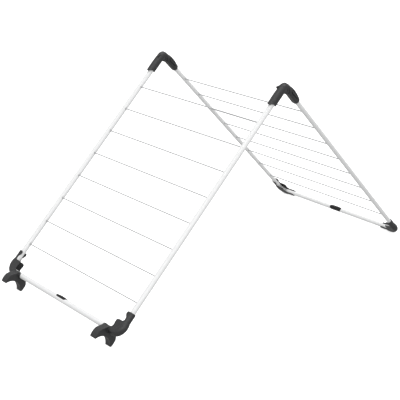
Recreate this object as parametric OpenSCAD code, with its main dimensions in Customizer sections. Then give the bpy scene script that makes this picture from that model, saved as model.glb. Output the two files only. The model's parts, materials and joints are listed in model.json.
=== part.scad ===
// Free-standing folding clothes drying rack, an A-frame of two wired panels.
// Each panel is a bent steel tube strung with straight steel wires, and the
// panels are joined at the top by two plastic elbow hinges.
// Millimetres. X runs along the hinge line, the front panel leans to -Y,
// the rear panel leans to +Y, +Z is up and Z = 0 is the floor.
// The origin is on the floor, at the centre of the whole rack's footprint.

/* [Panels] */
// Distance between the two leg centre lines of a panel
panel_w = 530; // [440:1:620]
// Hinge axis to the centre line of the front crossbar
front_len = 814; // [740:1:880]
// Hinge axis to the centre line of the rear crossbar
rear_len = 822; // [750:1:890]
// Outside diameter of the front tube
front_tube_d = 16; // [14:0.5:16]
// Outside diameter of the rear tube
rear_tube_d = 14; // [12:0.5:14]
// Wall thickness of both tubes
tube_wall = 1.0; // [0.8:0.1:1.5]
// Centre line radius of the tube bends at the bottom corners
bend_r = 22; // [20:1:26]

/* [Wires] */
// Diameter of a drying wire
wire_d = 3.0; // [2.5:0.1:3.5]
// Hinge axis to the first wire
wire_first = 120.5; // [110:0.5:130]
// Distance from one wire to the next
wire_pitch = 85.6; // [80:0.2:88]
// Number of wires on each panel, one node each
wire_count = 8; // [8:1:8]

/* [Standing pose] */
// Slope of the front panel, measured from the floor
front_tilt = 43.04; // [42:0.02:44]
// Slope of the rear panel, measured from the floor
rear_tilt = 46.31; // [45.6:0.02:47]

/* [Hinges] */
// Offset of both tube centre lines from the hinge axis
axis_off = 9.6; // [9.4:0.1:10]
// Outside radius of the front hinge sleeve
sleeve_r = 11.7; // [11.2:0.1:12]
// Outside radius of the rear hinge arm
arm_r = 12; // [11.5:0.1:12.2]
// Radius of the hinge pin
pin_r = 2.5; // [2:0.1:2.8]
// Half the width of the slot between the hinge cheeks
slot_half = 5.9; // [5.5:0.1:6.2]

/* [Corner clips and forks] */
// Wall thickness of the corner clips
clip_wall = 2.6; // [2.2:0.1:3]
// Length of a corner clip along the leg, from the crossbar centre line
clip_leg = 64; // [63:1:70]
// Length of a corner clip along the crossbar, from the leg centre line
clip_bar = 63; // [62:1:68]
// Width of a rim fork, along the crossbar
fork_w = 23.6; // [20:0.2:25]
// Distance from the leg centre line to the middle of the rim fork
fork_in = 44.4; // [43:0.2:46]

/* [Crossbar pads] */
// Length of the oval pad at the middle of each crossbar
pad_len = 50; // [40:1:56]
// Width of the oval pad
pad_w = 16; // [14:0.5:17]

/* [Hidden] */
$fn = 64;

PLASTIC = [0.20, 0.20, 0.21];
WHITE = [0.93, 0.93, 0.92];
STEEL = [0.62, 0.63, 0.65];

fr = front_tube_d / 2;
rr = rear_tube_d / 2;
wr = wire_d / 2;
fit = 0.05;                 // radial gap between a tube and the plastic on it
tube_top = 14;              // where the tubes end inside the hinges
bore_top = 13;              // where the tube bores in the hinges end
clip_fr = fr + clip_wall;   // outer radius of the front clips
clip_rr = rr + clip_wall;   // outer radius of the rear clips
belly = 1.5;                // extra thickness of the clips round the bend
belly_c = 1.1;              // how far its centre line lies outside the tube's

// lowest point of the rear corner clips, below the hinge axis
low = (rear_len + belly_c) * sin(rear_tilt) - axis_off * cos(rear_tilt) + clip_rr + belly;
pivot_z = low;
// the inner fork prong reaches the same floor
tip2_n = -33.5;
tip2_t = (low + (axis_off + tip2_n) * cos(front_tilt)) / sin(front_tilt) - front_len;
tip1_n = 28.5;
tip1_t = tip2_t + 5.7;
tip_flat = 3;               // width of the flat at the end of each prong
// front and rear reach of the rack, which set the origin in Y
reach_f = (front_len + tip1_t - 1.1) * cos(front_tilt) + (axis_off + tip1_n + 2.6) * sin(front_tilt);
reach_r = (rear_len + belly_c) * cos(rear_tilt) + axis_off * sin(rear_tilt) + clip_rr + belly;
pivot_y = (reach_f - reach_r) / 2;

// panel frames: +Y runs down the leg from the hinge axis, +Z is the outer side
module front_place() translate([0, pivot_y, pivot_z]) rotate([front_tilt, 0, 0]) mirror([0, 1, 0]) children();
module rear_place() translate([0, pivot_y, pivot_z]) rotate([-rear_tilt, 0, 0]) children();
// the front panel's frame, seen from inside the rear panel's frame, at rest
module front_seen_from_rear() rotate([rear_tilt, 0, 0]) rotate([front_tilt, 0, 0]) mirror([0, 1, 0]) children();

module on_side(side) { if (side < 0) mirror([1, 0, 0]) children(); else children(); }

// ---------------------------------------------------------------- tubes
// round bar along the path leg - bend - crossbar, centred on Z = 0,
// with the crossbar at Y = len and the legs at X = +-w/2
module u_path(w, len, top, r, b) {
  for (s = [-1, 1]) on_side(s) {
    translate([w / 2, top, 0]) rotate([-90, 0, 0]) cylinder(r = r, h = len - b - top);
    translate([w / 2 - b, len - b, 0]) rotate_extrude(angle = 90, $fn = 96) translate([b, 0]) circle(r = r);
  }
  translate([-(w / 2 - b), len, 0]) rotate([0, 90, 0]) cylinder(r = r, h = w - 2 * b);
}

module bent_tube(len, r) {
  difference() {
    translate([0, 0, axis_off]) u_path(panel_w, len, tube_top, r, bend_r);
    translate([0, 0, axis_off]) u_path(panel_w, len, tube_top - 1, r - tube_wall, bend_r);
    for (s = [-1, 1]) on_side(s) {
      // wire holes, in the inner side of the leg only
      for (i = [0 : wire_count - 1])
        translate([panel_w / 2 - r - 2, wire_first + i * wire_pitch, axis_off])
          rotate([0, 90, 0]) cylinder(r = wr + 0.05, h = 2 + tube_wall + 1, $fn = 32);
    }
  }
}

module front_tube() color(WHITE) front_place() bent_tube(front_len, fr);
module rear_tube() color(WHITE) rear_place() bent_tube(rear_len, rr);

// ---------------------------------------------------------------- wires
module wire(i, r) {
  half = panel_w / 2 - r + tube_wall + 0.4;
  translate([-half, wire_first + (i - 1) * wire_pitch, axis_off])
    rotate([0, 90, 0]) cylinder(r = wr, h = 2 * half, $fn = 32);
}
module front_wire(i) color(WHITE) front_place() wire(i, fr);
module rear_wire(i) color(WHITE) rear_place() wire(i, rr);

// ---------------------------------------------------------------- hinges
// Section of a hinge half: round, flat on the inner side and drawn out a little on the outer side
module section(r, h) {
  intersection() {
    union() {
      translate([axis_off, 0]) circle(r = r);
      if (h > 0) translate([axis_off + h, 0]) circle(r = r);
      if (h > 0) translate([axis_off, -r]) square([h, 2 * r]);
    }
    translate([0.3, -20]) square([50, 40]);
  }
}
// The head of both hinge halves is the same section turned about the pin.
module turned_head(r, h, a) rotate([180, 0, 0]) rotate([0, 90, 0]) rotate_extrude(angle = a, $fn = 128) section(r, h);
module sleeve(r, h, y1) rotate([-90, 0, 0]) rotate([0, 0, -90]) linear_extrude(y1) section(r, h);
// prism along X from a 2D shape drawn as (down the leg, outwards)
module prism(h) rotate([90, 0, 90]) translate([0, 0, -h / 2]) linear_extrude(h) children();

back_h = 1.5;                // how far the back of a hinge half is drawn out
arch_up = 3.5;                 // rise of the rear arm's arched back
arm_end = 58;                // where the rear arm's domed end begins
// edge of the front hinge's hood, where the rear arm begins
hood_s = -15.3; hood_n = 7.6; hood_a = -60;
module hood_side(gap) {
  // everything on the front side of the hood's edge, moved back by gap
  translate([hood_s - gap * 0.866, hood_n - gap * 0.5]) rotate(hood_a) translate([-60, 0]) square([120, 80]);
}

module front_knuckle() {
  difference() {
    union() {
      sleeve(sleeve_r, back_h, 67);
      intersection() {
        turned_head(sleeve_r, back_h, 125);
        prism(60) hood_side(0);
      }
      // boss round the pin
      translate([-10.6, 0, 0]) rotate([0, 90, 0]) cylinder(r = 9, h = 21.2);
      // small hooked lug on the back, towards the other hinge
      translate([-6.4, 0, 0]) prism(3.4) polygon([[-6, 15], [11.4, 15], [10.8, 21.6], [11, 24.6], [9.6, 27.4], [7.4, 26.8], [0, 21.8], [-6, 18.5]]);
    }
    // slot for the rear arm's tongue
    prism(2 * slot_half) {
      intersection() { circle(r = 17.5, $fn = 96); translate([-40, -40]) square([40.6, 80]); }
      circle(r = 8.6);
      translate([-40, -40]) square([49.2, 40.2]);
    }
    // tube bore and pin bore
    translate([0, bore_top, axis_off]) rotate([-90, 0, 0]) cylinder(r = fr + fit, h = 80);
    translate([-20, 0, 0]) rotate([0, 90, 0]) cylinder(r = pin_r + 0.02, h = 40);
    for (s = [-1, 1]) on_side(s) translate([9.2, 0, 0]) rotate([0, 90, 0]) cylinder(r = 4.2, h = 10);
    // scooped mouth of the sleeve
    translate([-20, 74.7, 5]) rotate([0, 90, 0]) cylinder(r = 19.8, h = 40, $fn = 96);
  }
}

// round bar of the arm between two points, given as (down the leg, outwards from the tube's centre line)
module run(a, b) {
  translate([0, a[0], axis_off + a[1]]) rotate([-90 + atan2(b[1] - a[1], b[0] - a[0]), 0, 0]) cylinder(r = arm_r, h = norm(b - a));
}

module rear_knuckle() {
  difference() {
    union() {
      difference() {
        union() {
          // arm with an arched back: two straight runs with a ball at each far end
          intersection() {
            union() {
              for (q = [[27, arch_up], [arm_end, 0.5]]) translate([0, q[0], axis_off + q[1]]) sphere(r = arm_r + 0.06, $fn = 96);
              run([0, 0], [27, arch_up]);
              run([27, arch_up], [arm_end, 0.5]);
            }
            translate([-20, -20, 0.3]) cube([40, 110, 60]);
          }
          turned_head(arm_r, 0, 60);
        }
        front_seen_from_rear() prism(60) hood_side(0.4);
        translate([-20, 0, 0]) rotate([0, 90, 0]) cylinder(r = 9.5, h = 40);
      }
      // tongue between the cheeks of the front half
      prism(2 * slot_half - 0.6) {
        circle(r = 8);
        intersection() { circle(r = 17.1, $fn = 96); translate([-40, -0.2]) square([60, 40]); }
        polygon([[0, 0.3], [24, 0.3], [24, 20], [3, 17]]);
      }
    }
    translate([0, bore_top, axis_off]) rotate([-90, 0, 0]) cylinder(r = rr + fit, h = 80);
    translate([-20, 0, 0]) rotate([0, 90, 0]) cylinder(r = pin_r + 0.05, h = 40);
    // long oval grooves on both sides of the arm
    for (s = [-1, 1]) on_side(s)
      translate([arm_r - 1.5, 0, 0]) prism(4) translate([0, 13.5]) difference() {
        oval(21, 49, 4.2);
        oval(21, 49, 2.4);
      }
  }
}
// oval from a to b along the leg, with round ends of radius r
module oval(a, b, r) {
  translate([a, 0]) circle(r = r, $fn = 48);
  translate([b, 0]) circle(r = r, $fn = 48);
  translate([a, -r]) square([b - a, 2 * r]);
}

module hinge_at(side) on_side(side) translate([panel_w / 2, 0, 0]) children();
module front_hinge(side) color(PLASTIC) front_place() hinge_at(side) front_knuckle();
module rear_hinge(side) color(PLASTIC) rear_place() hinge_at(side) rear_knuckle();

// pin with a flat head at each end, seated in the front half's cheeks
module hinge_pin(side) color(STEEL) front_place() hinge_at(side) {
  translate([-9.2, 0, 0]) rotate([0, 90, 0]) cylinder(r = pin_r, h = 18.4);
  for (s = [-1, 1]) on_side(s) translate([9.2, 0, 0]) rotate([0, 90, 0]) cylinder(r = 4, h = 1.2);
}

// ---------------------------------------------------------------- corner clips
// Drawn for the +X corner. The 2D outline is in (inboard, up the leg)
// from the crossing of the leg's and the crossbar's centre lines.
module clip_outline(rc) {
  e = clip_leg;
  f = clip_bar;
  polygon(concat([[-20, -20], [-20, e]],
    flank([[3, e], [8.6, e], [10.6, e - 6], [8.8, e - 12], [2.6, e - 17], [2, 38], [6.5, 33.5], [15, 34.5], [27.5, 32.5],
           [29, 24], [26.2, 15], [29, 7.5], [37, 5], [50, 7], [f - 5, 6.5], [f, 1], [f, -7]], 5),
    [[f, -20]]));
}
module clip_body(rc, r) {
  difference() {
    intersection() {
      translate([0, 0, -rc - 0.5]) linear_extrude(2 * rc + 1) clip_outline(rc);
      union() {
        clip_path(rc);
        translate([0, 0, -rc]) linear_extrude(2 * rc) inner_side(0);
        // thicker round the bend, where the rack rests and is handled
        translate([bend_r, bend_r, 0]) rotate([0, 0, 156]) rotate_extrude(angle = 138, $fn = 128) translate([bend_r + belly_c, 0]) circle(r = rc + belly);
      }
    }
    clip_path(r + fit);
    translate([0, 0, -r - fit]) linear_extrude(2 * (r + fit)) inner_side(0);
  }
}
// the region inboard of the tube's centre line
module inner_side(g) {
  difference() {
    translate([g, g]) square([90, 90]);
    difference() {
      translate([g - 1, g - 1]) square([bend_r + 1, bend_r + 1]);
      translate([bend_r, bend_r]) circle(r = bend_r - g, $fn = 96);
    }
  }
}
module clip_path(r) {
  translate([0, bend_r, 0]) rotate([-90, 0, 0]) cylinder(r = r, h = 70);
  translate([bend_r, 0, 0]) rotate([0, 90, 0]) cylinder(r = r, h = 70);
  translate([bend_r, bend_r, 0]) rotate([0, 0, 180]) rotate_extrude(angle = 90, $fn = 96) translate([bend_r, 0]) circle(r = r);
}

// fork profile in (outwards, down the leg) from the crossbar's centre line:
// a smooth curve through hand-set points on each flank, and a round arch
function mid(a, b) = (a + b) / 2;
function quad(p0, p1, p2, n) = [for (i = [0 : n - 1]) let (t = i / n)
  (1 - t) * (1 - t) * p0 + 2 * t * (1 - t) * p1 + t * t * p2];
// quadratic spline: each inner point pulls the curve, joined at the mid points
function flank(p, n) = concat(
  quad(p[0], p[1], mid(p[1], p[2]), n),
  [for (k = [2 : len(p) - 3]) for (q = quad(mid(p[k - 1], p[k]), p[k], mid(p[k], p[k + 1]), n)) q],
  quad(mid(p[len(p) - 3], p[len(p) - 2]), p[len(p) - 2], p[len(p) - 1], n),
  [p[len(p) - 1]]);
tip1 = [tip1_n, tip1_t];
tip2 = [tip2_n, tip2_t];
// the inner prong's flat lies on the floor
tip1_out = tip1 + [2.6, -1.1];
tip2_out = tip2 - tip_flat * [sin(front_tilt), cos(front_tilt)];
flank1 = flank([[7, -5], [14, -3], [22, 7], [32, 17], [34, 33], tip1_out], 6);
flank2 = flank([[-7, -5], [-14, -3], [-25, 3], [-36, 13], [-37.5, 27], tip2_out], 6);
chord = norm(tip1 - tip2);
sag = 18.5;
arch_r = (chord * chord / 4 + sag * sag) / (2 * sag);
axis_dir = [-(tip1 - tip2)[1], (tip1 - tip2)[0]] / chord;
arch_c = (tip1 + tip2) / 2 + (arch_r - sag) * axis_dir;
module fork_profile() {
  difference() {
    polygon(concat(flank1, [tip1, arch_c, tip2], [for (i = [len(flank2) - 1 : -1 : 0]) flank2[i]]));
    translate(arch_c) circle(r = arch_r, $fn = 96);
  }
}
// the profile's (outwards, down) goes to (+Z, -Y) here
module fork() {
  translate([fork_in - fork_w / 2, 0, 0]) rotate([0, 90, 0]) linear_extrude(fork_w)
    mirror([1, 0]) mirror([0, 1]) fork_profile();
}
module front_foot_solid() {
  clip_body(clip_fr, fr);
  difference() {
    fork();
    clip_path(fr + fit);
    translate([0, 0, -fr - fit]) linear_extrude(2 * (fr + fit)) inner_side(0);
  }
}
module corner_at(side, len) on_side(side) translate([panel_w / 2, len, axis_off]) mirror([1, 0, 0]) mirror([0, 1, 0]) children();
module front_foot(side) color(PLASTIC) front_place() corner_at(side, front_len) front_foot_solid();
module rear_corner(side) color(PLASTIC) rear_place() corner_at(side, rear_len) clip_body(clip_rr, rr);

// ---------------------------------------------------------------- crossbar pads
// oval saddle on the side of the crossbar that faces the hinge
module crossbar_pad(len, r) {
  translate([0, len, axis_off]) difference() {
    intersection() {
      rotate([90, 0, 0]) linear_extrude(r + 10) {
        for (s = [-1, 1]) translate([s * (pad_len - pad_w) / 2, 0]) circle(r = pad_w / 2);
        translate([-(pad_len - pad_w) / 2, -pad_w / 2]) square([pad_len - pad_w, pad_w]);
      }
      translate([0, 0, 0]) rotate([0, 90, 0]) rotate_extrude($fn = 128) translate([0, -60]) intersection() {
        square([r + 2.2, 120]);
        translate([r + 2.2 - 190, 60]) circle(r = 190, $fn = 360);
      }
      translate([-60, -40, -20]) cube([120, 39, 40]);
    }
    translate([-60, 0, 0]) rotate([0, 90, 0]) cylinder(r = r + fit, h = 120);
  }
}
module front_crossbar_pad() color(PLASTIC) front_place() crossbar_pad(front_len, fr);
module rear_crossbar_pad() color(PLASTIC) rear_place() crossbar_pad(rear_len, rr);

front_tube();
rear_tube();
front_wire(1);  // front_wire_1
front_wire(2);  // front_wire_2
front_wire(3);  // front_wire_3
front_wire(4);  // front_wire_4
front_wire(5);  // front_wire_5
front_wire(6);  // front_wire_6
front_wire(7);  // front_wire_7
front_wire(8);  // front_wire_8
rear_wire(1);  // rear_wire_1
rear_wire(2);  // rear_wire_2
rear_wire(3);  // rear_wire_3
rear_wire(4);  // rear_wire_4
rear_wire(5);  // rear_wire_5
rear_wire(6);  // rear_wire_6
rear_wire(7);  // rear_wire_7
rear_wire(8);  // rear_wire_8
front_hinge(-1);  // front_hinge_left
front_hinge(1);  // front_hinge_right
rear_hinge(-1);  // rear_hinge_left
rear_hinge(1);  // rear_hinge_right
hinge_pin(-1);  // hinge_pin_left
hinge_pin(1);  // hinge_pin_right
front_foot(-1);  // front_foot_left
front_foot(1);  // front_foot_right
rear_corner(-1);  // rear_corner_left
rear_corner(1);  // rear_corner_right
front_crossbar_pad();
rear_crossbar_pad();
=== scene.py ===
import bpy, bmesh, json, math, random
from mathutils import Vector, Matrix, noise


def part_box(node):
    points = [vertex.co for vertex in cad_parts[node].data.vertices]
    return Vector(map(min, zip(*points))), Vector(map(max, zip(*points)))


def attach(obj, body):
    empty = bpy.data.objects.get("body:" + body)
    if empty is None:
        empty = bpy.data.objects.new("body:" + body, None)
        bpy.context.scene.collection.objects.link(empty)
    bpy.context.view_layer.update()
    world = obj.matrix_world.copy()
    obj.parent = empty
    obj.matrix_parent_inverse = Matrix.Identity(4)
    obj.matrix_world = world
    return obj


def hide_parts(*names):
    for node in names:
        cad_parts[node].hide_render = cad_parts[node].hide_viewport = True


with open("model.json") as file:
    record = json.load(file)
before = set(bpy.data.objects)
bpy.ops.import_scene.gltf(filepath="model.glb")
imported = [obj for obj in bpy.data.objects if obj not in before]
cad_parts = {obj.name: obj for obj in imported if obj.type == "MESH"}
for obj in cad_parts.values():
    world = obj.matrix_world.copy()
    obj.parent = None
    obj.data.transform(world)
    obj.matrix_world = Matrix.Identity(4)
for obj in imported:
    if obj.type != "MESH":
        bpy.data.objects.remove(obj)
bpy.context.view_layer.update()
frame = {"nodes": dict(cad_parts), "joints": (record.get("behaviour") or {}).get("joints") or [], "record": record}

scene = bpy.context.scene
mm = 0.001

# ------------------------------------------------------------------ frame of the two panels
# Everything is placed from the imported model: the hinge axis comes from the joint, the slopes from the
# end wires of each panel.
joint = frame["joints"][0]
rec = frame["record"]
PIV = Vector(rec["behaviour"]["joints"][0]["pos_m"])


def centre(node):
    a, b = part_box(node)
    return (Vector(a) + Vector(b)) / 2


def panel(side):
    """Origin at the hinge axis; s runs down the legs, n outwards from the hinge plane."""
    w1, w8 = centre(side + "_wire_1"), centre(side + "_wire_8")
    d = (w8 - w1).normalized()
    n = Vector((0, 0, 1)) - d * d.z
    n.normalize()
    return PIV.copy(), d, n


PANEL = {"front": panel("front"), "rear": panel("rear")}
BODY = {"front": "front_panel", "rear": "rear_panel"}


def P(side, x, s, n):
    o, d, m = PANEL[side]
    return o + d * (s * mm) + m * (n * mm) + Vector((x * mm, 0, 0))


def along(side, p):
    o, d, m = PANEL[side]
    return (Vector(p) - o).dot(d) / mm


OFF = (centre("front_wire_1") - PIV).dot(PANEL["front"][2]) / mm      # tube axis off the hinge plane
PW = 530.0
TUBE_R = {"front": 8.0, "rear": 7.0}
LEN = {"front": 814.0, "rear": 822.0}
BEND = 22.0
WIRES = {sd: [along(sd, centre("%s_wire_%d" % (sd, i))) for i in range(1, 9)] for sd in ("front", "rear")}


# ------------------------------------------------------------------ materials
def new_mat(name):
    m = bpy.data.materials.new(name)
    m.use_nodes = True
    nt = m.node_tree
    bsdf = next(n for n in nt.nodes if n.type == "BSDF_PRINCIPLED")
    return m, nt, bsdf


def noise_tex(nt, scale, detail=3.0, rough=0.5, vec=None):
    t = nt.nodes.new("ShaderNodeTexNoise")
    t.inputs["Scale"].default_value = scale
    t.inputs["Detail"].default_value = detail
    t.inputs["Roughness"].default_value = rough
    nt.links.new(vec, t.inputs["Vector"])
    return t


def ramp(nt, fac, stops):
    r = nt.nodes.new("ShaderNodeValToRGB")
    e = r.color_ramp.elements
    while len(e) < len(stops):
        e.new(0.5)
    for k, (pos, col) in enumerate(stops):
        e[k].position = pos
        e[k].color = (*col, 1.0) if len(col) == 3 else col
    nt.links.new(fac, r.inputs["Fac"])
    return r


def maprange(nt, fac, a, b, c, d):
    r = nt.nodes.new("ShaderNodeMapRange")
    for k, v in zip(("From Min", "From Max", "To Min", "To Max"), (a, b, c, d)):
        r.inputs[k].default_value = v
    nt.links.new(fac, r.inputs["Value"])
    return r


def bump(nt, height, strength, dist, normal=None):
    b = nt.nodes.new("ShaderNodeBump")
    b.inputs["Strength"].default_value = strength
    b.inputs["Distance"].default_value = dist
    nt.links.new(height, b.inputs["Height"])
    if normal is not None:
        nt.links.new(normal, b.inputs["Normal"])
    return b


def powder_coat(name, tone, rough, peel=0.25):
    """White coat: a slow tint drift, orange peel about 1.5 mm across and fine grain under it."""
    m, nt, bs = new_mat(name)
    co = nt.nodes.new("ShaderNodeTexCoord").outputs["Object"]
    drift = noise_tex(nt, 9.0, 2.0, 0.5, co)
    t0 = tuple(c * 0.985 for c in tone)
    col = ramp(nt, drift.outputs["Fac"], [(0.3, t0), (0.7, tone)])
    grime = noise_tex(nt, 160.0, 4.0, 0.6, co)
    spots = ramp(nt, grime.outputs["Fac"], [(0.62, (1, 1, 1)), (0.80, (0.94, 0.935, 0.92))])
    mix = nt.nodes.new("ShaderNodeMix")
    mix.data_type = "RGBA"
    mix.blend_type = "MULTIPLY"
    mix.inputs[0].default_value = 1.0
    nt.links.new(col.outputs["Color"], mix.inputs[6])
    nt.links.new(spots.outputs["Color"], mix.inputs[7])
    nt.links.new(mix.outputs[2], bs.inputs["Base Color"])
    peel_t = noise_tex(nt, 650.0, 2.0, 0.45, co)
    fine = noise_tex(nt, 3200.0, 2.0, 0.5, co)
    b1 = bump(nt, peel_t.outputs["Fac"], peel, 0.00012)
    b2 = bump(nt, fine.outputs["Fac"], 0.12, 0.00004, b1.outputs["Normal"])
    nt.links.new(b2.outputs["Normal"], bs.inputs["Normal"])
    rg = maprange(nt, grime.outputs["Fac"], 0.3, 0.7, rough - 0.05, rough + 0.07)
    nt.links.new(rg.outputs["Result"], bs.inputs["Roughness"])
    bs.inputs["IOR"].default_value = 1.5
    return m


def moulded(name, tone, rough, grain=0.5, ior=1.5):
    """Dark moulded plastic: spark-eroded grain about 0.4 mm, paler rubbed patches, slow tone drift."""
    m, nt, bs = new_mat(name)
    co = nt.nodes.new("ShaderNodeTexCoord").outputs["Object"]
    drift = noise_tex(nt, 30.0, 3.0, 0.55, co)
    col = ramp(nt, drift.outputs["Fac"], [(0.25, tuple(c * 0.75 for c in tone)), (0.75, tuple(c * 1.15 for c in tone))])
    rub = noise_tex(nt, 280.0, 5.0, 0.65, co)
    dust = ramp(nt, rub.outputs["Fac"], [(0.52, (0, 0, 0)), (0.74, (0.024, 0.024, 0.0235))])
    mix = nt.nodes.new("ShaderNodeMix")
    mix.data_type = "RGBA"
    mix.blend_type = "ADD"
    mix.inputs[0].default_value = 1.0
    nt.links.new(col.outputs["Color"], mix.inputs[6])
    nt.links.new(dust.outputs["Color"], mix.inputs[7])
    nt.links.new(mix.outputs[2], bs.inputs["Base Color"])
    vor = nt.nodes.new("ShaderNodeTexVoronoi")
    vor.inputs["Scale"].default_value = 2200.0
    nt.links.new(co, vor.inputs["Vector"])
    fine = noise_tex(nt, 1500.0, 3.0, 0.6, co)
    b1 = bump(nt, vor.outputs["Distance"], grain * 0.5, 0.00010)
    b2 = bump(nt, fine.outputs["Fac"], grain, 0.00012, b1.outputs["Normal"])
    nt.links.new(b2.outputs["Normal"], bs.inputs["Normal"])
    rg = maprange(nt, rub.outputs["Fac"], 0.35, 0.75, rough + 0.05, rough - 0.08)
    nt.links.new(rg.outputs["Result"], bs.inputs["Roughness"])
    bs.inputs["IOR"].default_value = ior
    return m


def steel(name, tone, rough):
    m, nt, bs = new_mat(name)
    co = nt.nodes.new("ShaderNodeTexCoord").outputs["Object"]
    n1 = noise_tex(nt, 900.0, 4.0, 0.6, co)
    col = ramp(nt, n1.outputs["Fac"], [(0.3, tuple(c * 0.85 for c in tone)), (0.7, tone)])
    nt.links.new(col.outputs["Color"], bs.inputs["Base Color"])
    bs.inputs["Metallic"].default_value = 1.0
    rg = maprange(nt, n1.outputs["Fac"], 0.3, 0.7, rough - 0.06, rough + 0.08)
    nt.links.new(rg.outputs["Result"], bs.inputs["Roughness"])
    b = bump(nt, n1.outputs["Fac"], 0.2, 0.00005)
    nt.links.new(b.outputs["Normal"], bs.inputs["Normal"])
    return m


M_TUBE = powder_coat("tube_powder_coat", (0.845, 0.85, 0.85), 0.34)
# painted shadow: a dark grey coat standing in for the shadow in the hole where each wire enters a leg
M_HOLE_SHADOW = powder_coat("painted_hole_shadow", (0.34, 0.34, 0.345), 0.5, 0.12)
M_BORE = powder_coat("tube_bore_shadow", (0.30, 0.30, 0.31), 0.6, 0.1)
# painted shade: the white wire coat is given a mid grey, darker than the tubes, so the thin wires render as shaded grey
# lines
M_WIRE = powder_coat("wire_coat_painted_shade", (0.51, 0.515, 0.52), 0.42, 0.12)
M_PLAS = moulded("dark_plastic", (0.016, 0.0165, 0.018), 0.46, 0.8, 1.6)
M_PAD = moulded("pad_plastic", (0.008, 0.008, 0.009), 0.55, 0.3, 1.4)
M_PIN = steel("pin_steel", (0.10, 0.10, 0.105), 0.45)


# ------------------------------------------------------------------ mesh helpers
def finish_mesh(name, verts, faces, mats, face_mat=None, smooth=True):
    me = bpy.data.meshes.new(name)
    me.from_pydata([tuple(v) for v in verts], [], faces)
    me.validate()
    me.update()
    for m in mats:
        me.materials.append(m)
    if face_mat is not None:
        for p, k in zip(me.polygons, face_mat):
            p.material_index = k
    if smooth:
        me.polygons.foreach_set("use_smooth", [True] * len(me.polygons))
    ob = bpy.data.objects.new(name, me)
    scene.collection.objects.link(ob)
    return ob


def recalc(ob):
    bm = bmesh.new()
    bm.from_mesh(ob.data)
    bmesh.ops.recalc_face_normals(bm, faces=bm.faces)
    bm.to_mesh(ob.data)
    bm.free()
    return ob


# ------------------------------------------------------------------ tubes
def u_path(side):
    """Stations down the +X leg, round the bend, along the crossbar and up the -X leg: (x, s, tangent)."""
    L, r = LEN[side], TUBE_R[side]
    hx = PW / 2
    legs = set()
    s = 14.0
    while s < L - BEND:
        legs.add(round(s, 2))
        s += 12.0
    for w in WIRES[side]:
        for k in range(-9, 10):
            legs.add(round(w + k * 1.1, 2))
    legs.add(L - BEND)
    legs = sorted(legs)
    out = [(hx, s, Vector((0, 1)), "leg") for s in legs]
    nb = 28
    for k in range(1, nb):
        a = math.pi / 2 * k / nb
        out.append((hx - BEND + BEND * math.cos(a), L - BEND + BEND * math.sin(a), Vector((-math.sin(a), math.cos(a))), "bend"))
    nx = 46
    for k in range(nx + 1):
        x = (hx - BEND) * (1 - 2 * k / nx)
        out.append((x, L, Vector((-1, 0)), "bar"))
    for k in range(1, nb):
        a = math.pi / 2 * k / nb
        out.append((-(hx - BEND) - BEND * math.sin(a), L - BEND + BEND * math.cos(a), Vector((-math.cos(a), -math.sin(a))), "bend"))
    out += [(-hx, s, Vector((0, -1)), "leg") for s in reversed(legs)]
    return out


def dimple(side, x, s, ca):
    """How far the wall is pressed in round a wire: a shallow flat dish on the inner side."""
    inner = -ca if x > 0 else ca              # 1 where the wall faces the other leg
    if inner <= 0.15:
        return 0.0
    best = 0.0
    for w in WIRES[side]:
        ds = s - w
        if abs(ds) > 10:
            continue
        r = TUBE_R[side]
        lat = math.sqrt(max(0.0, 1 - inner * inner)) * r
        q = math.sqrt((ds / 6.2) ** 2 + (lat / 3.6) ** 2)
        best = max(best, 1.15 * math.exp(-q ** 2.6))
    return best


def build_tube(side):
    r, wall = TUBE_R[side], 1.0
    st = u_path(side)
    seg = 56
    verts, faces, fm = [], [], []
    for shell in (0, 1):                     # outer skin, then the bore
        rad = r if shell == 0 else r - wall
        base = len(verts)
        for (x, s, t, kind) in st:
            nrm = Vector((t.y, -t.x))         # in-plane normal: +X on the +X leg
            for j in range(seg):
                a = 2 * math.pi * j / seg
                ca, sa = math.cos(a), math.sin(a)
                q = rad
                if kind == "leg":
                    q -= dimple(side, x, s, ca * nrm.x * (1 if x > 0 else 1))
                verts.append(P(side, x + nrm.x * ca * q, s + nrm.y * ca * q, OFF + sa * q))
        n = len(st)
        for i in range(n - 1):
            for j in range(seg):
                a, b = base + i * seg + j, base + i * seg + (j + 1) % seg
                c, d = b + seg, a + seg
                faces.append((a, b, c, d) if shell == 0 else (d, c, b, a))
                # painted shadow: wall faces on a leg's inner side within 3.3 mm of a wire's entry take the dark
                # material, standing in for the hole's shadow
                painted_shadow_slot = 0
                if shell == 0 and st[i][3] == "leg" and st[i + 1][3] == "leg":
                    (xa, sa_, ta, _), ang = st[i], 2 * math.pi * (j + 0.5) / seg
                    ca_ = math.cos(ang) * ta.y
                    if (-ca_ if xa > 0 else ca_) > 0.5:
                        mid = (sa_ + st[i + 1][1]) / 2
                        near = min(abs(mid - w) for w in WIRES[side])
                        if math.hypot(near, r * math.sin(ang)) < 3.3:
                            painted_shadow_slot = 2
                fm.append(painted_shadow_slot if shell == 0 else 1)
    n = len(st)
    off = n * seg
    for i in (0, n - 1):                      # the two open ends: a ring of wall
        for j in range(seg):
            a, b = i * seg + j, i * seg + (j + 1) % seg
            c, d = off + b, off + a
            faces.append((a, b, c, d) if i else (d, c, b, a))
            fm.append(0)
    ob = finish_mesh(side + "_frame_tube", verts, faces, [M_TUBE, M_BORE, M_HOLE_SHADOW], fm)
    recalc(ob)
    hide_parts(side + "_tube")
    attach(ob, BODY[side])
    return ob


for sd in ("front", "rear"):
    build_tube(sd)


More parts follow.
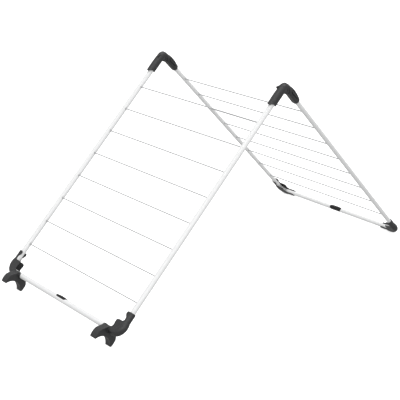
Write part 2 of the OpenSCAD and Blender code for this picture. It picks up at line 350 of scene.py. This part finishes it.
# ------------------------------------------------------------------ wires
def build_wire(side, i):
    """A drawn wire with its coating, a fillet of coating where it enters each leg, and a slight bow."""
    s0 = WIRES[side][i - 1]
    R = TUBE_R[side]
    half = PW / 2 - R + 1.4
    face = PW / 2 - R + 0.55                  # the dished wall of the leg
    rng = random.Random(1000 * (side == "rear") + i)
    bow_s, bow_n = rng.uniform(-0.35, 0.35), rng.uniform(-0.35, 0.15)
    xs = [-half, -face]
    for k in range(1, 9):
        xs.append(-face + k * 0.5)
    m = 40
    for k in range(m + 1):
        xs.append((-face + 6) * (1 - 2 * k / m))
    xs += [face - k * 0.5 for k in range(8, 0, -1)] + [face, half]
    seg = 20
    verts, faces = [], []
    for x in xs:
        e = face - abs(x)
        rr = 1.9
        if e >= 0:
            rr += 0.75 * math.exp(-e / 0.9)
        f = 1 - (x / half) ** 2
        for j in range(seg):
            a = 2 * math.pi * j / seg
            verts.append(P(side, x, s0 + bow_s * f + rr * math.cos(a), OFF + bow_n * f + rr * math.sin(a)))
    for k in range(len(xs) - 1):
        for j in range(seg):
            a, b = k * seg + j, k * seg + (j + 1) % seg
            faces.append((a, a + seg, b + seg, b))
    faces.append(tuple(range(seg)))
    faces.append(tuple(reversed(range((len(xs) - 1) * seg, len(xs) * seg))))
    ob = finish_mesh("%s_line_%d" % (side, i), verts, faces, [M_WIRE])
    recalc(ob)
    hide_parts("%s_wire_%d" % (side, i))
    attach(ob, BODY[side])


for sd in ("front", "rear"):
    for i in range(1, 9):
        build_wire(sd, i)


# ------------------------------------------------------------------ plastic mouldings
def ease(t):
    t = max(0.0, min(1.0, t))
    return t * t * (3 - 2 * t)


def rear_arch(x, s, n, cx):
    """The arm's back as one smooth arch, and its inner side kept straight down to the flat."""
    if 1.0 < s < 68.0 and math.hypot(x, n - OFF) > 8.1:
        line = 3.5 * s / 27 if s < 27 else max(0.5, 3.5 - 3.0 * (s - 27) / 31)
        mid = OFF + line
        arch = 3.9 * math.sin(math.pi * min(s, 60.0) / 60)
        n += max(0.0, arch - line) * ease((n - mid) / 5) * ease((s - 8) / 8)
        if n < mid:
            low = n - line * ease((mid - n) / 5) * ease((66 - s) / 8) * ease((s - 10) / 6)
            n = max(low, min(n, 0.35))
    return x + cx, s, n


def front_swell(x, s, n, cx):
    """A slight swell along the sleeve's back."""
    if 2.0 < s < 66.0 and math.hypot(x, n - OFF) > 9.4:
        n += 1.3 * math.sin(math.pi * (s - 2) / 64) * ease((n - OFF) / 6)
    return x + cx, s, n


def moulding(node, name, side, mat, voxel, smooth_it, shape=None):
    """The CAD shape with the softened edges of a moulding: remeshed finely, relaxed and shaded smooth."""
    src = frame["nodes"][node]
    me = src.data.copy()
    me.name = name
    me.materials.clear()
    me.materials.append(mat)
    ob = bpy.data.objects.new(name, me)
    scene.collection.objects.link(ob)
    r = ob.modifiers.new("remesh", "REMESH")
    r.mode = "VOXEL"
    r.voxel_size = voxel * 1.0 * mm
    r.adaptivity = 0.0
    r.use_smooth_shade = True
    s = ob.modifiers.new("soften", "SMOOTH")
    s.factor = 0.5
    s.iterations = max(1, smooth_it // (1))
    bpy.context.view_layer.update()
    dg = bpy.context.evaluated_depsgraph_get()
    done = bpy.data.meshes.new_from_object(ob.evaluated_get(dg))
    done.name = name
    ob.modifiers.clear()
    if shape is not None:
        for v in done.vertices:
            q = v.co - PANEL[side][0]
            d, m = PANEL[side][1], PANEL[side][2]
            cx = math.copysign(PW / 2, q.x)
            v.co = P(side, *shape(q.x / mm - cx, q.dot(d) / mm, q.dot(m) / mm, cx))
        done.update()
    ob.data = done
    if not done.materials:
        done.materials.append(mat)
    done.polygons.foreach_set("use_smooth", [True] * len(done.polygons))
    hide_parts(node)
    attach(ob, BODY[side])
    return ob


for sd, lr in (("front", "left"), ("front", "right"), ("rear", "left"), ("rear", "right")):
    moulding("%s_hinge_%s" % (sd, lr), "%s_elbow_%s" % (sd, lr), sd, M_PLAS, 0.42, 5, shape=front_swell if sd == "front" else rear_arch)
for lr in ("left", "right"):
    moulding("front_foot_" + lr, "rim_fork_" + lr, "front", M_PLAS, 0.5, 6)
    moulding("rear_corner_" + lr, "rear_clip_" + lr, "rear", M_PLAS, 0.45, 4)
for sd in ("front", "rear"):
    moulding(sd + "_crossbar_pad", sd + "_pad", sd, M_PAD, 0.3, 4)


# ------------------------------------------------------------------ steel pieces
def lathe(profile, place, seg=40):
    verts, faces = [], []
    for (x, r) in profile:
        for j in range(seg):
            a = 2 * math.pi * j / seg
            verts.append(place(x, r * math.cos(a), r * math.sin(a)))
    n = len(profile)
    for k in range(n - 1):
        for j in range(seg):
            a, b = k * seg + j, k * seg + (j + 1) % seg
            faces.append((a, b, b + seg, a + seg))
    faces.append(tuple(reversed(range(seg))))
    faces.append(tuple(range((n - 1) * seg, n * seg)))
    return verts, faces


for lr, sx in (("left", -1), ("right", 1)):
    cx = sx * PW / 2
    prof = [(-10.3, 1.2), (-10.4, 2.6), (-10.1, 3.6), (-9.5, 4.0), (-9.2, 3.9), (-9.2, 2.5), (9.2, 2.5), (9.2, 3.9), (9.5, 4.0),
            (10.1, 3.6), (10.4, 2.6), (10.3, 1.2)]
    v, f = lathe(prof, lambda x, a, b: P("front", cx + x, a, b))
    ob = recalc(finish_mesh("elbow_pin_" + lr, v, f, [M_PIN]))
    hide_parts("hinge_pin_" + lr)
    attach(ob, "front_panel")

# ------------------------------------------------------------------ floor, light, camera
floor_me = bpy.data.meshes.new("floor")
S = 14.0
N = 2
floor_me.from_pydata([(-S, -S, 0), (S, -S, 0), (S, S, 0), (-S, S, 0)], [], [(0, 1, 2, 3)])
floor = bpy.data.objects.new("floor", floor_me)
floor.location.z = -0.0006
scene.collection.objects.link(floor)
fm_, nt_, bs_ = new_mat("floor_white")
bs_.inputs["Base Color"].default_value = (0.93, 0.93, 0.93, 1)
bs_.inputs["Roughness"].default_value = 0.9
bs_.inputs["Specular IOR Level"].default_value = 0.0
bs_.inputs["Emission Color"].default_value = (1, 1, 1, 1)
bs_.inputs["Emission Strength"].default_value = 0.7
floor_me.materials.append(fm_)

world = bpy.data.worlds.new("studio")
scene.world = world
world.use_nodes = True
wn = world.node_tree
bg = next(n for n in wn.nodes if n.type == "BACKGROUND")
tc = wn.nodes.new("ShaderNodeTexCoord")
sep = wn.nodes.new("ShaderNodeSeparateXYZ")
wn.links.new(tc.outputs["Generated"], sep.inputs[0])
sky = ramp(wn, maprange(wn, sep.outputs["Z"], -1.0, 1.0, 0.0, 1.0).outputs["Result"],
           [(0.0, (0.50, 0.50, 0.50)), (0.42, (0.54, 0.54, 0.54)), (0.60, (0.66, 0.66, 0.66)), (1.0, (0.80, 0.80, 0.80))])
wn.links.new(sky.outputs["Color"], bg.inputs["Color"])
bg.inputs["Strength"].default_value = 1.0


def area(name, loc, target, size, power, size_y=None):
    l = bpy.data.lights.new(name, "AREA")
    l.shape = "RECTANGLE"
    l.size = size
    l.size_y = size_y or size
    l.energy = power
    o = bpy.data.objects.new(name, l)
    scene.collection.objects.link(o)
    o.location = loc
    d = Vector(target) - Vector(loc)
    o.rotation_euler = d.to_track_quat("-Z", "Y").to_euler()
    return o


# the floor is seen and takes shadows, and doesn't throw light back up under the tubes
floor.visible_diffuse = False
floor.visible_glossy = False
CEN = (0, 0, 0.3)
area("key", (1.3, -3.5, 3.1), CEN, 2.6, 37)
area("top", (0.7, 0.9, 4.4), CEN, 4.0, 74)
area("camera_side", (3.6, -1.6, 1.8), CEN, 2.2, 20)

# the camera, from its bearing and height about the corner where the planes of the two panels' tubes meet
AZ, EL = math.radians(48.1089), math.radians(21.3126)
back = Vector((math.sin(AZ) * math.cos(EL), -math.cos(AZ) * math.cos(EL), math.sin(EL)))
right = Vector((math.cos(AZ), math.sin(AZ), 0))
up = back.cross(right)
ridge = PIV + Vector((0, 0.000385, 0.01349))
U = 0.530
eye = ridge + (back * 5.4864 - right * 0.111 - up * 0.7366) * U
cam_data = bpy.data.cameras.new("camera")
cam_data.lens = 975.6239 / 400 * 36.0
cam_data.sensor_width = 36.0
cam_data.clip_start = 0.05
cam = bpy.data.objects.new("camera", cam_data)
scene.collection.objects.link(cam)
rot = Matrix((right, up, back)).transposed().to_4x4()
cam.matrix_world = Matrix.Translation(eye) @ rot
scene.camera = cam
scene.view_settings.view_transform = "Standard"
scene.view_settings.look = "None"
scene.view_settings.exposure = 0.0
scene.view_settings.gamma = 1.0
